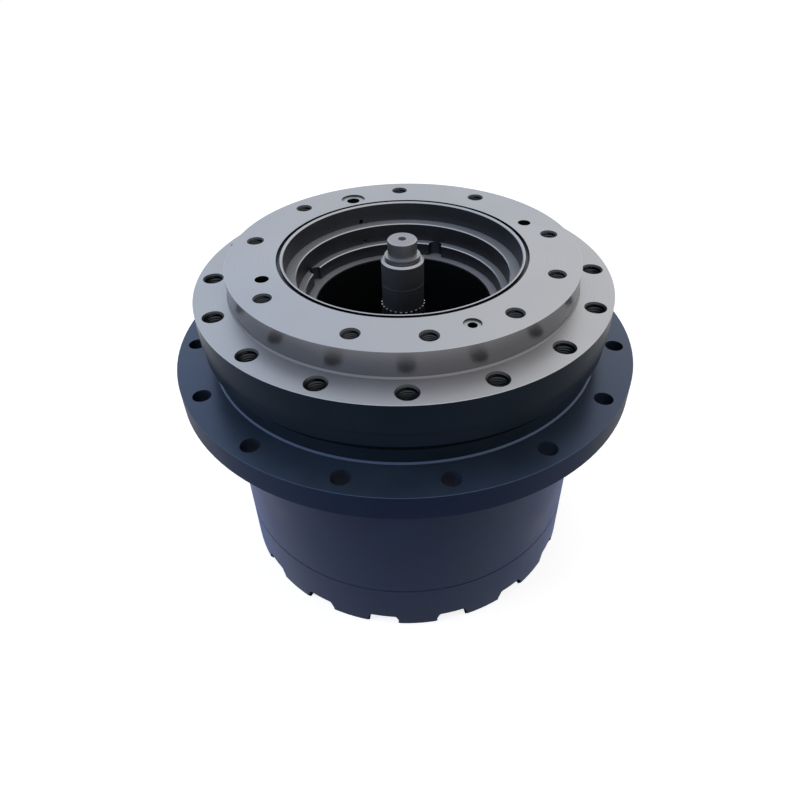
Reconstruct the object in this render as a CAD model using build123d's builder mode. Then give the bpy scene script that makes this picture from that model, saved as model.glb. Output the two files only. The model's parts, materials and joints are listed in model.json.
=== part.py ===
from build123d import *
from math import acos, cos, pi, radians, sin, tan
import os

os.makedirs("parts", exist_ok=True)

# Excavator final drive, standing on the feet of its end cover, axis along +Z, millimetres.
# The spindle is fixed to the track frame; hub, ring gear and cover turn with the sprocket.

# Motor bore, the size that the spindle is drawn round
chamber_r = 88.7
ledge_1_w = 10.6
ledge_2_w = 7.4
ledge_3_w = 9.3
bore_1_depth = 20.4
bore_2_depth = 39.6
bore_3_depth = 53.4
floor_t = 28.0
mouth_chamfer = 1.0
lip_w = 1.6
groove_w = 3.7
groove_depth = 3.5
slot_r = 7.5
slot_count = 4
oil_hole_r = 2.3
oil_hole_rise = 2.8
oil_hole_depth = 14.0

# Motor face and spigot
motor_hole_inset = 34.2
motor_hole_edge = 20.9
motor_hole_r = 7.0
motor_hole_depth = 38.0
motor_pair_angles = (22.3, 56.5, 101.9, 164.7)
motor_odd_angles = (-133.9, 140.2)
inlet_inset = 22.1
inlet_r = 7.0
inlet_recess_r = 13.0
drain_inset = 27.8
drain_r = 4.3
drain_recess_r = 8.0
port_recess = 1.8
port_depth = 40.0
dowel_inset = 23.0
dowel_r = 6.5
dowel_depth = 18.0
dowel_angle = 89.0
spigot_h = 25.6

# Frame flange and skirt
frame_hole_inset = 17.9
frame_hole_edge = 15.8
frame_hole_r = 8.65
frame_hole_depth = 30.0
frame_hole_count = 16
frame_t = 29.2
skirt_wall = 23.0
skirt_h = 15.8
skirt_bevel = 10.0
skirt_gap = 1.6

# Spindle neck and main bearings
neck_wall = 29.3
shoulder_w = 14.0
inner_race_wall = 11.0
roller_t = 12.0
race_slope = 7.0
outer_race_wall = 7.0
bearing_w = 30.0
bearing_rib_t = 6.0
bearing_rib_h = 11.5

# Face seal
seat_w = 25.0
seat_depth = 12.0
seal_ring_t = 10.0
seal_rubber_w = 10.0
seal_rubber_h = 10.5
seal_gap = 10.5
seal_lap = 0.1

# Hub
rim_wall = 16.3
rim_h = 14.7
sprocket_hole_inset = 21.3
sprocket_hole_edge = 17.4
sprocket_hole_r = 9.0
sprocket_hole_count = 15
sprocket_hole_angle = -7.4
flange_t = 25.3
shell_wall = 25.0
pilot_step = 1.5
pilot_h = 12.0

# End cover
foot_h = 13.2
foot_w = 31.0
foot_count = 16
foot_angle = 2.4
notch_floor_w = 27.3
notch_mouth_w = 39.0
notch_fillet = 2.5
cover_h = 60.0
seam_w = 1.4
seam_depth = 2.0
cover_plate_t = 16.8
cover_lip = 8.0
cover_bolt_count = 8
cover_bolt_r = 6.0
cover_bolt_head_over = 3.0
cover_bolt_head_h = 12.0
cover_bolt_grip = 66.0
cover_bolt_seat_h = 24.0
plug_count = 3
plug_inset = 52.0
plug_r = 13.0
plug_head_over = 4.0
plug_head_h = 6.0
pad_r = 20.0
pad_seat = 5.0

# Gears
module_mm = 5.0
pressure_angle = radians(25)
ring_teeth = 60
sun_1_teeth = 12
sun_2_teeth = 18
planet_count = 3
tooth_thinning = 0.16
root_clearance = 1.25
ring_wall = 9.75
ring_over = 3.0
planet_1_w = 28.0
planet_2_w = 42.0
pin_room = 24.6
stage_gap = 2.5
carrier_1_edge = 22.0
carrier_1_t = 16.3
carrier_2_edge = 32.5
carrier_2_t = 26.8
carrier_2_bore_r = 40.0
carrier_bolt_r = 10.0
carrier_bolt_edge = 20.0
carrier_bolt_head_over = 5.0
carrier_bolt_head_h = 20.0
carrier_bolt_depth = 24.0
pin_1_r = 16.0
pin_2_r = 18.0
pin_head_over = 7.0
pin_head_h = 8.0
sun_2_neck_r = 34.0
sun_2_bore_r = 22.0

# Input shaft
shaft_top = 12.1
journal_r = 14.4
journal_h = 16.2
journal_chamfer = 1.0
collar_r = 17.6
collar_h = 2.7
relief_r = 16.0
relief_h = 1.3
body_r = 21.2
body_h = 49.2
body_chamfer = 1.9
mark_drop = 24.5
mark_w = 0.8
mark_depth = 0.5
spline_count = 25
spline_tip_r = 22.4
spline_root_r = 19.8
spline_h = 60.0
centre_r = 4.0
bearing_seat_r = 19.8
stem_r = 17.0
sun_seat_r = 15.0
shaft_bearing_wall = 20.2
shaft_bearing_w = 18.0
shaft_seal_wall = 13.2

# Broken edges
hole_chamfer = 1.6
edge_chamfer = 0.4
ledge_chamfer = 0.8
foot_fillet = 1.5

# Clearances
run_clear = 0.05
side_clear = 0.2
bolt_clear = 0.6
thread_clear = 0.05
end_clear = 0.3

# Radii of the spindle, from the motor bore outwards
bore_3_r = chamber_r + ledge_3_w
bore_2_r = bore_3_r + ledge_2_w
bore_1_r = bore_2_r + ledge_1_w
mouth_r = bore_1_r + mouth_chamfer
groove_inner_r = mouth_r + lip_w
groove_r = groove_inner_r + groove_w
inlet_circle_r = bore_1_r + inlet_inset
drain_circle_r = bore_1_r + drain_inset
dowel_circle_r = bore_1_r + dowel_inset
motor_circle_r = bore_1_r + motor_hole_inset
spigot_r = motor_circle_r + motor_hole_edge
frame_circle_r = spigot_r + frame_hole_inset
frame_r = frame_circle_r + frame_hole_edge

# Radii of the bearings, seal and hub, from the spindle neck outwards
neck_r = chamber_r + neck_wall
shoulder_r = neck_r + shoulder_w
race_in_r = neck_r + inner_race_wall
race_out_r = race_in_r + roller_t
race_r = race_out_r + race_slope + outer_race_wall
bearing_rib_r = race_r - bearing_rib_h
seat_r = race_r + seat_w
seal_ring_r = seat_r - seal_rubber_w
rim_r = seat_r + rim_wall
skirt_r = seat_r + skirt_wall
skirt_foot_r = skirt_r - skirt_bevel
sprocket_circle_r = rim_r + sprocket_hole_inset
flange_r = sprocket_circle_r + sprocket_hole_edge

# Gear sizes and rest angles: the planets of both stages mesh with the one ring
planet_1_teeth = (ring_teeth - sun_1_teeth) // 2
planet_2_teeth = (ring_teeth - sun_2_teeth) // 2
arm_1 = module_mm * (sun_1_teeth + planet_1_teeth) / 2
arm_2 = module_mm * (sun_2_teeth + planet_2_teeth) / 2
stage_2_angle = 90.0
stage_1_angle = stage_2_angle - 60 + 180 / ring_teeth
ring_pitch_r = module_mm * ring_teeth / 2
ring_root_r = ring_pitch_r + root_clearance * module_mm
ring_r = ring_root_r + ring_wall
carrier_1_r = arm_1 + carrier_1_edge
carrier_2_r = arm_2 + carrier_2_edge
carrier_bolt_circle_r = neck_r - carrier_bolt_edge

# Radii of the housing round the ring gear
shell_r = ring_r + shell_wall
pilot_r = shell_r + pilot_step
foot_ring_r = shell_r - foot_w
cover_inner_r = ring_r - cover_lip
plug_circle_r = foot_ring_r - plug_inset
cover_bolt_circle_r = (ring_r + shell_r) / 2
cover_head_r = cover_bolt_r + cover_bolt_head_over
shaft_bearing_r = bearing_seat_r + shaft_bearing_wall
shaft_seal_r = bearing_seat_r + shaft_seal_wall

# Heights above the feet, up through the two gear stages to the motor face
seam_z = cover_h
cover_floor_z = foot_h + cover_plate_t
pin_1_z = cover_floor_z + pin_room
planet_1_z = pin_1_z + pin_head_h + side_clear
planet_1_top = planet_1_z + planet_1_w
carrier_1_z = planet_1_top + side_clear
carrier_1_top = carrier_1_z + carrier_1_t
pin_2_z = carrier_1_top + stage_gap
planet_2_z = pin_2_z + pin_head_h + side_clear
planet_2_top = planet_2_z + planet_2_w
ring_top_z = planet_2_top + ring_over
carrier_2_z = planet_2_top + side_clear
neck_end_z = carrier_2_z + carrier_2_t
chamber_floor_z = neck_end_z + floor_t
lower_rib_z = neck_end_z + bearing_w
upper_rib_z = lower_rib_z + bearing_rib_t
seat_z = upper_rib_z + bearing_w
rim_z = seat_z + seat_depth
flange_top_z = rim_z - rim_h
flange_z = flange_top_z - flange_t
seal_mid_z = rim_z + seal_gap / 2
skirt_z = rim_z + seal_gap
skirt_foot_z = rim_z + skirt_gap
recess_z = skirt_z + seat_depth
frame_z = skirt_z + skirt_h
frame_top_z = frame_z + frame_t
face_z = frame_top_z + spigot_h
shaft_top_z = face_z + shaft_top
journal_z = shaft_top_z - journal_h
collar_z = journal_z - collar_h
body_top_z = collar_z - relief_h
body_z = body_top_z - body_h
mark_z = body_top_z - mark_drop
sun_1_top = planet_1_top - side_clear


def involute(angle):
    return tan(angle) - angle


def tooth_outline(teeth, inner_r, outer_r, angle, thinning):
    """Closed outline of involute teeth, one tooth centred on the angle in degrees."""
    pitch_r = module_mm * teeth / 2
    base_r = pitch_r * cos(pressure_angle)
    points = []
    for i in range(teeth):
        centre = radians(angle) + 2 * pi * i / teeth
        flank = []
        for r in (inner_r, pitch_r, outer_r):
            turned = involute(pressure_angle) - involute(acos(min(1, base_r / r)))
            flank.append((r, pi / (2 * teeth) - thinning / pitch_r + turned))
        for r, half in flank:
            points.append((r * cos(centre - half), r * sin(centre - half)))
        for r, half in reversed(flank):
            points.append((r * cos(centre + half), r * sin(centre + half)))
    return points


def external_outline(teeth, angle):
    pitch_r = module_mm * teeth / 2
    root_r = pitch_r - root_clearance * module_mm
    return tooth_outline(teeth, root_r, pitch_r + module_mm, angle, tooth_thinning)


def stage_spots(arm_r, angle):
    return PolarLocations(arm_r, planet_count, angle)


# End cover: a plate with a rim of feet, open radially between them
with BuildPart() as end_cover:
    with BuildSketch(Plane.XZ):
        with BuildLine():
            Polyline(
                (0, foot_h),
                (foot_ring_r, foot_h),
                (foot_ring_r, 0),
                (shell_r - foot_fillet, 0),
                (shell_r, foot_fillet),
                (shell_r, seam_z - seam_w),
                (shell_r - seam_depth, seam_z - seam_w),
                (shell_r - seam_depth, seam_z),
                (cover_inner_r, seam_z),
                (cover_inner_r, cover_floor_z),
                (pad_r, cover_floor_z),
                (pad_r, cover_floor_z - pad_seat),
                (0, cover_floor_z - pad_seat),
                close=True,
            )
        make_face()
    revolve(axis=Axis.Z)
    for i in range(foot_count):
        notch_angle = foot_angle + (i + 0.5) * 360 / foot_count
        outward = Vector(1, 0, 0).rotate(Axis.Z, notch_angle)
        across = Vector(0, 1, 0).rotate(Axis.Z, notch_angle)
        with BuildSketch(Plane(origin=(0, 0, 0), x_dir=across, z_dir=outward)) as notch:
            with BuildLine():
                Polyline(
                    (-notch_mouth_w / 2, 0),
                    (notch_mouth_w / 2, 0),
                    (notch_floor_w / 2, foot_h),
                    (-notch_floor_w / 2, foot_h),
                    close=True,
                )
            make_face()
            fillet(notch.vertices().group_by(Axis.Z)[-1], notch_fillet)
        extrude(amount=flange_r, mode=Mode.SUBTRACT)
    with BuildSketch(Plane.XY):
        with PolarLocations(cover_bolt_circle_r, cover_bolt_count, foot_angle):
            Circle(cover_head_r + bolt_clear)
    extrude(amount=cover_bolt_seat_h, mode=Mode.SUBTRACT)
    with BuildSketch(Plane.XY):
        with PolarLocations(cover_bolt_circle_r, cover_bolt_count, foot_angle):
            Circle(cover_bolt_r + bolt_clear)
    extrude(amount=seam_z, mode=Mode.SUBTRACT)
    with BuildSketch(Plane.XY):
        with PolarLocations(plug_circle_r, plug_count, foot_angle):
            Circle(plug_r)
    extrude(amount=seam_z, mode=Mode.SUBTRACT)

with BuildPart() as cover_bolts:
    with PolarLocations(cover_bolt_circle_r, cover_bolt_count, foot_angle):
        with Locations((0, 0, cover_bolt_seat_h)):
            Cylinder(
                cover_head_r, cover_bolt_head_h, align=(Align.CENTER, Align.CENTER, Align.MAX)
            )
            Cylinder(
                cover_bolt_r, cover_bolt_grip, align=(Align.CENTER, Align.CENTER, Align.MIN)
            )

with BuildPart() as oil_plugs:
    with PolarLocations(plug_circle_r, plug_count, foot_angle):
        with Locations((0, 0, foot_h)):
            Cylinder(
                plug_r + plug_head_over,
                plug_head_h,
                align=(Align.CENTER, Align.CENTER, Align.MAX),
            )
            Cylinder(plug_r, cover_plate_t, align=(Align.CENTER, Align.CENTER, Align.MIN))

with BuildPart() as thrust_pad:
    with BuildSketch(Plane.XY.offset(cover_floor_z - pad_seat)):
        Circle(pad_r)
    extrude(amount=planet_1_z - end_clear - cover_floor_z + pad_seat)

# Hub: shell, sprocket flange and the rim round the face seal
with BuildPart() as hub:
    with BuildSketch(Plane.XZ):
        with BuildLine():
            Polyline(
                (ring_r, seam_z),
                (shell_r - edge_chamfer, seam_z),
                (shell_r, seam_z + edge_chamfer),
                (shell_r, flange_z - pilot_h),
                (pilot_r, flange_z - pilot_h),
                (pilot_r, flange_z),
                (flange_r - edge_chamfer, flange_z),
                (flange_r, flange_z + edge_chamfer),
                (flange_r, flange_top_z - edge_chamfer),
                (flange_r - edge_chamfer, flange_top_z),
                (rim_r + foot_fillet, flange_top_z),
                (rim_r, flange_top_z + foot_fillet),
                (rim_r, rim_z - ledge_chamfer),
                (rim_r - ledge_chamfer, rim_z),
                (seat_r, rim_z),
                (seat_r, seat_z),
                (race_r, seat_z),
                (race_r, upper_rib_z),
                (bearing_rib_r, upper_rib_z),
                (bearing_rib_r, lower_rib_z),
                (race_r, lower_rib_z),
                (race_r, ring_top_z),
                (ring_r, ring_top_z),
                close=True,
            )
        make_face()
    revolve(axis=Axis.Z)
    with BuildSketch(Plane.XY.offset(flange_z)):
        with PolarLocations(sprocket_circle_r, sprocket_hole_count, sprocket_hole_angle):
            Circle(sprocket_hole_r)
    extrude(amount=flange_t, mode=Mode.SUBTRACT)
    with BuildSketch(Plane.XY.offset(seam_z)):
        with PolarLocations(cover_bolt_circle_r, cover_bolt_count, foot_angle):
            Circle(cover_bolt_r + thread_clear)
    extrude(amount=cover_bolt_seat_h + cover_bolt_grip - seam_z, mode=Mode.SUBTRACT)

with BuildPart() as ring_gear:
    with BuildSketch(Plane.XY.offset(seam_z)):
        Circle(ring_r)
        with BuildLine():
            Polyline(
                *tooth_outline(
                    ring_teeth,
                    ring_pitch_r - module_mm,
                    ring_root_r,
                    stage_2_angle,
                    -2 * tooth_thinning,
                ),
                close=True,
            )
        make_face(mode=Mode.SUBTRACT)
    extrude(amount=ring_top_z - seam_z)

# Main bearings: each cone opens towards its own end of the neck
bearing_ends = ((neck_end_z, lower_rib_z), (seat_z, upper_rib_z))

with BuildPart() as bearing_inner_rings:
    for end_z, rib_z in bearing_ends:
        with BuildSketch(Plane.XZ):
            with BuildLine():
                Polyline(
                    (neck_r, end_z),
                    (race_in_r + race_slope, end_z),
                    (race_in_r, rib_z),
                    (neck_r, rib_z),
                    close=True,
                )
            make_face()
        revolve(axis=Axis.Z)

with BuildPart() as bearing_rollers:
    for end_z, rib_z in bearing_ends:
        with BuildSketch(Plane.XZ):
            with BuildLine():
                Polyline(
                    (race_in_r + race_slope + run_clear, end_z),
                    (race_out_r + race_slope - run_clear, end_z),
                    (race_out_r - run_clear, rib_z),
                    (race_in_r + run_clear, rib_z),
                    close=True,
                )
            make_face()
        revolve(axis=Axis.Z)

with BuildPart() as bearing_outer_rings:
    for end_z, rib_z in bearing_ends:
        with BuildSketch(Plane.XZ):
            with BuildLine():
                Polyline(
                    (race_r, end_z),
                    (race_out_r + race_slope, end_z),
                    (race_out_r, rib_z),
                    (race_r, rib_z),
                    close=True,
                )
            make_face()
        revolve(axis=Axis.Z)

# Face seal: a metal ring on each side, pressed on by a rubber ring
with BuildPart() as seal_ring_lower:
    with BuildSketch(Plane.XY.offset(seat_z + end_clear)):
        Circle(seal_ring_r)
        Circle(seal_ring_r - seal_ring_t, mode=Mode.SUBTRACT)
    extrude(amount=seal_mid_z - seal_lap / 2 - seat_z - end_clear)

with BuildPart() as seal_ring_upper:
    with BuildSketch(Plane.XY.offset(seal_mid_z + seal_lap / 2)):
        Circle(seal_ring_r)
        Circle(seal_ring_r - seal_ring_t, mode=Mode.SUBTRACT)
    extrude(amount=recess_z - end_clear - seal_mid_z - seal_lap / 2)

with BuildPart() as seal_rubber_lower:
    with BuildSketch(Plane.XY.offset(seat_z)):
        Circle(seat_r)
        Circle(seal_ring_r, mode=Mode.SUBTRACT)
    extrude(amount=seal_rubber_h)

with BuildPart() as seal_rubber_upper:
    with BuildSketch(Plane.XY.offset(recess_z)):
        Circle(seat_r)
        Circle(seal_ring_r, mode=Mode.SUBTRACT)
    extrude(amount=-seal_rubber_h)

# Spindle: neck, frame flange and stepped bore for the motor
with BuildPart() as spindle:
    with BuildSketch(Plane.XZ):
        with BuildLine():
            Polyline(
                (shaft_seal_r, neck_end_z),
                (neck_r, neck_end_z),
                (neck_r, seat_z),
                (shoulder_r, seat_z),
                (shoulder_r, recess_z),
                (seat_r, recess_z),
                (seat_r, skirt_foot_z),
                (skirt_foot_r, skirt_foot_z),
                (skirt_r, skirt_z),
                (skirt_r, frame_z),
                (frame_r - edge_chamfer, frame_z),
                (frame_r, frame_z + edge_chamfer),
                (frame_r, frame_top_z - edge_chamfer),
                (frame_r - edge_chamfer, frame_top_z),
                (spigot_r + foot_fillet, frame_top_z),
                (spigot_r, frame_top_z + foot_fillet),
                (spigot_r, face_z - edge_chamfer),
                (spigot_r - edge_chamfer, face_z),
                (groove_r, face_z),
                (groove_r, face_z - groove_depth),
                (groove_inner_r, face_z - groove_depth),
                (groove_inner_r, face_z),
                (mouth_r, face_z),
                (bore_1_r, face_z - mouth_chamfer),
                (bore_1_r, face_z - bore_1_depth),
                (bore_2_r + ledge_chamfer, face_z - bore_1_depth),
                (bore_2_r, face_z - bore_1_depth - ledge_chamfer),
                (bore_2_r, face_z - bore_2_depth),
                (bore_3_r + ledge_chamfer, face_z - bore_2_depth),
                (bore_3_r, face_z - bore_2_depth - ledge_chamfer),
                (bore_3_r, face_z - bore_3_depth),
                (chamber_r + ledge_chamfer, face_z - bore_3_depth),
                (chamber_r, face_z - bore_3_depth - ledge_chamfer),
                (chamber_r, chamber_floor_z),
                (shaft_bearing_r, chamber_floor_z),
                (shaft_bearing_r, chamber_floor_z - shaft_bearing_w),
                (shaft_seal_r, chamber_floor_z - shaft_bearing_w),
                close=True,
            )
        make_face()
    revolve(axis=Axis.Z)
    with BuildSketch(Plane.XY.offset(neck_end_z)):
        with stage_spots(carrier_bolt_circle_r, stage_2_angle + 60):
            Circle(carrier_bolt_r + thread_clear)
    extrude(amount=carrier_bolt_depth, mode=Mode.SUBTRACT)
    with Locations((0, 0, frame_top_z)):
        with PolarLocations(frame_circle_r, frame_hole_count):
            CounterSinkHole(frame_hole_r, frame_hole_r + hole_chamfer, frame_hole_depth, 90)
    motor_angles = list(motor_odd_angles)
    for angle in motor_pair_angles:
        motor_angles += [angle, -angle]
    for angle in motor_angles:
        with Locations((0, 0, face_z)):
            with PolarLocations(motor_circle_r, 1, 90 + angle):
                CounterSinkHole(motor_hole_r, motor_hole_r + hole_chamfer, motor_hole_depth, 90)
    with Locations((0, inlet_circle_r, face_z)):
        CounterBoreHole(inlet_r, inlet_recess_r, port_recess, port_depth)
    with Locations((0, -drain_circle_r, face_z)):
        CounterBoreHole(drain_r, drain_recess_r, port_recess, port_depth)
    with Locations((0, 0, face_z)):
        with PolarLocations(dowel_circle_r, 2, 90 - dowel_angle, 2 * dowel_angle, endpoint=True):
            Hole(dowel_r, dowel_depth)
    with BuildSketch(Plane.XY.offset(face_z - bore_3_depth)):
        with PolarLocations(bore_3_r, slot_count, 45):
            Circle(slot_r)
    extrude(amount=bore_3_depth - bore_2_depth, mode=Mode.SUBTRACT)
    for wall_r, depth in ((bore_1_r, bore_1_depth), (bore_2_r, bore_2_depth)):
        with BuildSketch(Plane.XZ):
            with Locations((0, face_z - depth + oil_hole_rise)):
                Circle(oil_hole_r)
        extrude(amount=-wall_r - oil_hole_depth, mode=Mode.SUBTRACT)

with BuildPart() as shaft_bearing:
    with BuildSketch(Plane.XY.offset(chamber_floor_z - shaft_bearing_w)):
        Circle(shaft_bearing_r)
        Circle(bearing_seat_r + run_clear, mode=Mode.SUBTRACT)
    extrude(amount=shaft_bearing_w)

with BuildPart() as shaft_seal:
    with BuildSketch(Plane.XY.offset(neck_end_z)):
        Circle(shaft_seal_r)
        Circle(bearing_seat_r + run_clear, mode=Mode.SUBTRACT)
    extrude(amount=floor_t - shaft_bearing_w)

# Second stage: carrier bolted under the spindle, planets on headed pins
with BuildPart() as carrier_2:
    with BuildSketch(Plane.XY.offset(carrier_2_z)):
        Circle(carrier_2_r)
        Circle(carrier_2_bore_r, mode=Mode.SUBTRACT)
        with stage_spots(arm_2, stage_2_angle):
            Circle(pin_2_r, mode=Mode.SUBTRACT)
        with stage_spots(carrier_bolt_circle_r, stage_2_angle + 60):
            Circle(carrier_bolt_r + bolt_clear, mode=Mode.SUBTRACT)
    extrude(amount=carrier_2_t)

with BuildPart() as carrier_2_bolts:
    with stage_spots(carrier_bolt_circle_r, stage_2_angle + 60):
        with Locations((0, 0, carrier_2_z)):
            Cylinder(
                carrier_bolt_r + carrier_bolt_head_over,
                carrier_bolt_head_h,
                align=(Align.CENTER, Align.CENTER, Align.MAX),
            )
            Cylinder(
                carrier_bolt_r,
                carrier_2_t + carrier_bolt_depth,
                align=(Align.CENTER, Align.CENTER, Align.MIN),
            )

with BuildPart() as planet_2_pins:
    with stage_spots(arm_2, stage_2_angle):
        with Locations((0, 0, pin_2_z)):
            Cylinder(
                pin_2_r + pin_head_over,
                pin_head_h,
                align=(Align.CENTER, Align.CENTER, Align.MIN),
            )
            Cylinder(
                pin_2_r, neck_end_z - pin_2_z, align=(Align.CENTER, Align.CENTER, Align.MIN)
            )

with BuildPart() as sun_gear_2:
    with BuildSketch(Plane.XY.offset(planet_2_z)):
        with BuildLine():
            Polyline(*external_outline(sun_2_teeth, stage_2_angle), close=True)
        make_face()
    extrude(amount=planet_2_w - side_clear)
    with BuildSketch(Plane.XY.offset(carrier_1_z)):
        Circle(sun_2_neck_r)
    extrude(amount=planet_2_z - carrier_1_z)
    with BuildSketch(Plane.XY.offset(carrier_1_z)):
        Circle(sun_2_bore_r)
    extrude(amount=planet_2_top - carrier_1_z, mode=Mode.SUBTRACT)

# First stage: carrier fixed on the neck of the second sun gear
with BuildPart() as carrier_1:
    with BuildSketch(Plane.XY.offset(carrier_1_z)):
        Circle(carrier_1_r)
        Circle(sun_2_neck_r, mode=Mode.SUBTRACT)
        with stage_spots(arm_1, stage_1_angle):
            Circle(pin_1_r, mode=Mode.SUBTRACT)
    extrude(amount=carrier_1_t)

with BuildPart() as planet_1_pins:
    with stage_spots(arm_1, stage_1_angle):
        with Locations((0, 0, pin_1_z)):
            Cylinder(
                pin_1_r + pin_head_over,
                pin_head_h,
                align=(Align.CENTER, Align.CENTER, Align.MIN),
            )
            Cylinder(
                pin_1_r, carrier_1_top - pin_1_z, align=(Align.CENTER, Align.CENTER, Align.MIN)
            )

with BuildPart() as sun_gear_1:
    with BuildSketch(Plane.XY.offset(planet_1_z)):
        with BuildLine():
            Polyline(*external_outline(sun_1_teeth, stage_1_angle), close=True)
        make_face()
        Circle(sun_seat_r, mode=Mode.SUBTRACT)
    extrude(amount=planet_1_w - side_clear)

# Input shaft, from the first sun gear up through the hollow second one to the motor
with BuildPart() as input_shaft:
    with BuildSketch(Plane.XZ):
        with BuildLine():
            Polyline(
                (0, planet_1_z),
                (sun_seat_r, planet_1_z),
                (sun_seat_r, sun_1_top),
                (stem_r, sun_1_top),
                (stem_r, neck_end_z),
                (bearing_seat_r, neck_end_z),
                (bearing_seat_r, body_z),
                (body_r, body_z),
                (body_r, mark_z - mark_w),
                (body_r - mark_depth, mark_z - mark_w / 2),
                (body_r, mark_z),
                (body_r, body_top_z - body_chamfer),
                (body_r - body_chamfer, body_top_z),
                (relief_r, body_top_z),
                (relief_r, collar_z),
                (collar_r, collar_z),
                (collar_r, journal_z),
                (journal_r, journal_z),
                (journal_r, shaft_top_z - journal_chamfer),
                (journal_r - journal_chamfer, shaft_top_z),
                (centre_r, shaft_top_z),
                (0, shaft_top_z - centre_r),
                close=True,
            )
        make_face()
    revolve(axis=Axis.Z)
    with BuildSketch(Plane.XY.offset(body_z)):
        with BuildLine():
            spline_points = []
            for i in range(spline_count):
                for r, part in (
                    (spline_root_r, 0.0),
                    (spline_root_r, 0.35),
                    (spline_tip_r, 0.5),
                    (spline_tip_r, 0.85),
                ):
                    angle = 2 * pi * (i + part) / spline_count
                    spline_points.append((r * cos(angle), r * sin(angle)))
            Polyline(*spline_points, close=True)
        make_face()
    extrude(amount=-spline_h)


def planet_gear(teeth, arm_r, angle, bore_r, low_z, width):
    """One planet gear with a tooth gap facing the sun gear on the axis."""
    with BuildPart() as planet:
        centre = (arm_r * cos(radians(angle)), arm_r * sin(radians(angle)), low_z)
        with BuildSketch(Plane(origin=centre)):
            with BuildLine():
                Polyline(*external_outline(teeth, angle + 180 + 180 / teeth), close=True)
            make_face()
            Circle(bore_r, mode=Mode.SUBTRACT)
        extrude(amount=width)
    return planet.part


pieces = {
    "end_cover": end_cover.part,
    "cover_bolts": cover_bolts.part,
    "oil_plugs": oil_plugs.part,
    "thrust_pad": thrust_pad.part,
    "hub": hub.part,
    "ring_gear": ring_gear.part,
    "bearing_inner_rings": bearing_inner_rings.part,
    "bearing_rollers": bearing_rollers.part,
    "bearing_outer_rings": bearing_outer_rings.part,
    "seal_ring_lower": seal_ring_lower.part,
    "seal_ring_upper": seal_ring_upper.part,
    "seal_rubber_lower": seal_rubber_lower.part,
    "seal_rubber_upper": seal_rubber_upper.part,
    "spindle": spindle.part,
    "shaft_bearing": shaft_bearing.part,
    "shaft_seal": shaft_seal.part,
    "carrier_2": carrier_2.part,
    "carrier_2_bolts": carrier_2_bolts.part,
    "planet_2_pins": planet_2_pins.part,
    "sun_gear_2": sun_gear_2.part,
    "carrier_1": carrier_1.part,
    "planet_1_pins": planet_1_pins.part,
    "sun_gear_1": sun_gear_1.part,
    "input_shaft": input_shaft.part,
}
for i, letter in enumerate("abc"):
    spot = i * 360 / planet_count
    pieces["planet_1_" + letter] = planet_gear(
        planet_1_teeth, arm_1, stage_1_angle + spot, pin_1_r + run_clear, planet_1_z, planet_1_w
    )
    pieces["planet_2_" + letter] = planet_gear(
        planet_2_teeth, arm_2, stage_2_angle + spot, pin_2_r + run_clear, planet_2_z, planet_2_w
    )
for label, piece in pieces.items():
    piece.label = label
    export_step(piece, f"parts/{label}.step")
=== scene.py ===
"""Looks of an excavator final drive: finishes, threads and small fasteners on its CAD frame."""

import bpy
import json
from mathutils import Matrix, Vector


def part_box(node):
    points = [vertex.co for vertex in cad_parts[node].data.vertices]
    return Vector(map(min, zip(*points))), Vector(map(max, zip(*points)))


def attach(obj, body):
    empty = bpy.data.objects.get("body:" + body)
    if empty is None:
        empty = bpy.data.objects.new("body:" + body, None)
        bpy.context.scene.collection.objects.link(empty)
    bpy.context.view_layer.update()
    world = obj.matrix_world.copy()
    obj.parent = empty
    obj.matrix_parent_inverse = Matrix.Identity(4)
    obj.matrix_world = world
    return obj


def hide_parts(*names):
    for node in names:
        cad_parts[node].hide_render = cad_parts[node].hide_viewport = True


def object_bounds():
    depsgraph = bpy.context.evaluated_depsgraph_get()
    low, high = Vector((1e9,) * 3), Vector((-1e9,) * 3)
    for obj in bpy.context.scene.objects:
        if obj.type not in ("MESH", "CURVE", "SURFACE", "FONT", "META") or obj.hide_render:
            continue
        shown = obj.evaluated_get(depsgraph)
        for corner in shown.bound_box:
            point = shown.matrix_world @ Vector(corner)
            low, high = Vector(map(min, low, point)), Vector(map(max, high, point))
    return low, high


bl_info = {
    "name": "Excavator final drive",
    "version": (1, 0, 0),
    "blender": (4, 5, 0),
    "location": "View3D > Sidebar > Final drive",
    "description": "Finishes the turned, painted and hardened pieces of a final drive",
    "category": "Object",
}

import json
from math import cos, hypot, pi, radians, sin

import bmesh
import bpy
from bpy.props import FloatProperty, FloatVectorProperty, IntProperty, PointerProperty
from mathutils import Matrix, Vector

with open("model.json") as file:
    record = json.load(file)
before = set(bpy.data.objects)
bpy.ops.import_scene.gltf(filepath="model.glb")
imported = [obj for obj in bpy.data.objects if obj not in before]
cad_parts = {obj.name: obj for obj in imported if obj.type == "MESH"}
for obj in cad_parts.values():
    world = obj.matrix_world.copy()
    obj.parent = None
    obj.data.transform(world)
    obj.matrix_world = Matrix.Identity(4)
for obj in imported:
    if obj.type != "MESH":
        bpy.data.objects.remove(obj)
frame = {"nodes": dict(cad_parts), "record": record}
cad_low, cad_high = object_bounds()

MM = 0.001
MOUNTS = {mount["name"]: mount for mount in frame["record"]["mounts"]}

# How far the root of a thread lies in its wall, and the room to spare when a face is told from
# its neighbours by its height
HAIR = 0.05 * MM
# Corners of neighbouring faces that are closer than this are one
SAME_POINT = 0.001 * MM
# Edges of added pieces that turn by more than this stay sharp
SHARP = radians(35)
# Upward part of a face's normal: a wall has less than the first, a face that looks up has more
# than the second, and a level face has more than the third
WALL, UPWARD, LEVEL = 0.3, 0.5, 0.9

# Half the foot of a thread's ridge, in pitches: under a half, so that its turns stay apart
RIDGE_HALF = 0.45
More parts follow.
